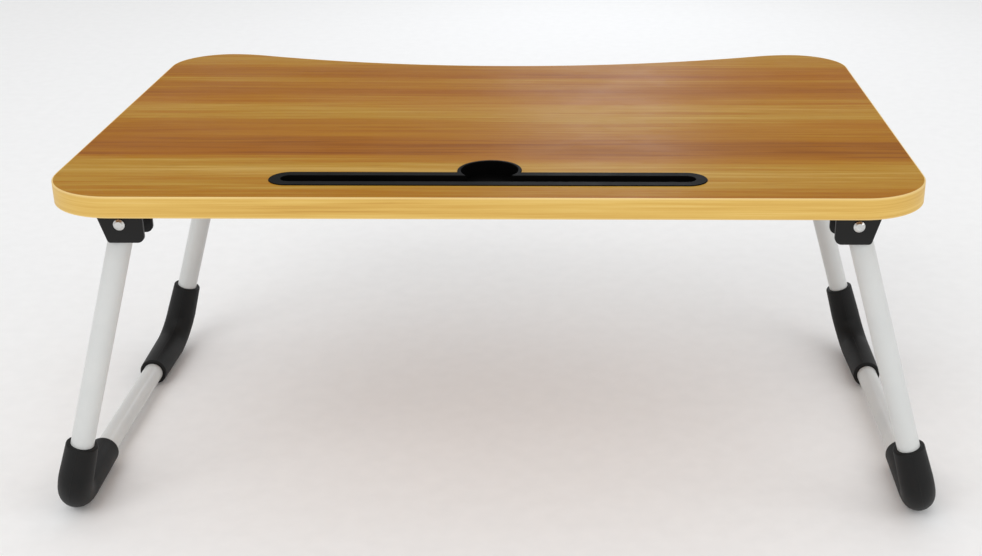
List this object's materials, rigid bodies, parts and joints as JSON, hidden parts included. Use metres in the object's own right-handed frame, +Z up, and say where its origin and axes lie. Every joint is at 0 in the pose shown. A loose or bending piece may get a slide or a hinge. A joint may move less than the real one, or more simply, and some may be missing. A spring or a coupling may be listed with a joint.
{
  "type": "folding tray table",
  "caption": "Low folding lap and bed tray table: wooden board with a tablet slot and a scooped edge, on two bent-tube leg frames with rubber feet that fold flat underneath.",
  "frame": {"origin": "on the floor under the middle of the board, at the centre of the open table's footprint box", "axes": "+X along the board's length, +Y towards the user at the scooped long edge, +Z up; legs stored open"},
  "size_m": [0.6724, 0.4, 0.2762],
  "materials": {
    "wood_core": "raw particle board core, hidden by the laminates and the edge band",
    "wood_top": "satin wood-grain laminate, grain along the length",
    "wood_under": "matte wood-grain backing laminate",
    "wood_edge": "satin light wood edge band",
    "black_plastic": "satin moulded black plastic",
    "bracket_plastic": "matte moulded black plastic",
    "pin_steel": "bright zinc-plated steel",
    "screw_steel": "zinc-plated steel",
    "leg_paint": "light grey-white powder coat on steel tube, satin",
    "foot_rubber": "matte black moulded rubber",
    "plug_nylon": "black nylon",
    "bush_nylon": "natural white nylon"
  },
  "bodies": {
    "tabletop": {"board_core": "wood_core", "top_laminate": "wood_top", "underside_laminate": "wood_under", "edge_band": "wood_edge", "slot_insert": "black_plastic", "front_left_bracket": "bracket_plastic", "front_left_pivot_pin": "pin_steel", "front_left_pin_retainer": "pin_steel", "front_left_bracket_screws": "screw_steel", "front_right_bracket": "bracket_plastic", "front_right_pivot_pin": "pin_steel", "front_right_pin_retainer": "pin_steel", "front_right_bracket_screws": "screw_steel", "rear_left_bracket": "bracket_plastic", "rear_left_pivot_pin": "pin_steel", "rear_left_pin_retainer": "pin_steel", "rear_left_bracket_screws": "screw_steel", "rear_right_bracket": "bracket_plastic", "rear_right_pivot_pin": "pin_steel", "rear_right_pin_retainer": "pin_steel", "rear_right_bracket_screws": "screw_steel"},
    "left_leg_frame": {"left_leg_tube": "leg_paint", "left_front_foot": "foot_rubber", "left_front_tube_plug": "plug_nylon", "left_front_pivot_bush": "bush_nylon", "left_rear_foot": "foot_rubber", "left_rear_tube_plug": "plug_nylon", "left_rear_pivot_bush": "bush_nylon"},
    "right_leg_frame": {"right_leg_tube": "leg_paint", "right_front_foot": "foot_rubber", "right_front_tube_plug": "plug_nylon", "right_front_pivot_bush": "bush_nylon", "right_rear_foot": "foot_rubber", "right_rear_tube_plug": "plug_nylon", "right_rear_pivot_bush": "bush_nylon"}
  },
  "joints": [
    {"name": "left_leg_fold", "type": "hinge", "parent": "tabletop", "child": "left_leg_frame", "pos_m": [-0.255, 0, 0.24359], "axis": [0, -1, 0], "range_deg": [0, 106.5]},
    {"name": "right_leg_fold", "type": "hinge", "parent": "tabletop", "child": "right_leg_frame", "pos_m": [0.255, 0, 0.24359], "axis": [0, 1, 0], "range_deg": [0, 106.5]}
  ]
}
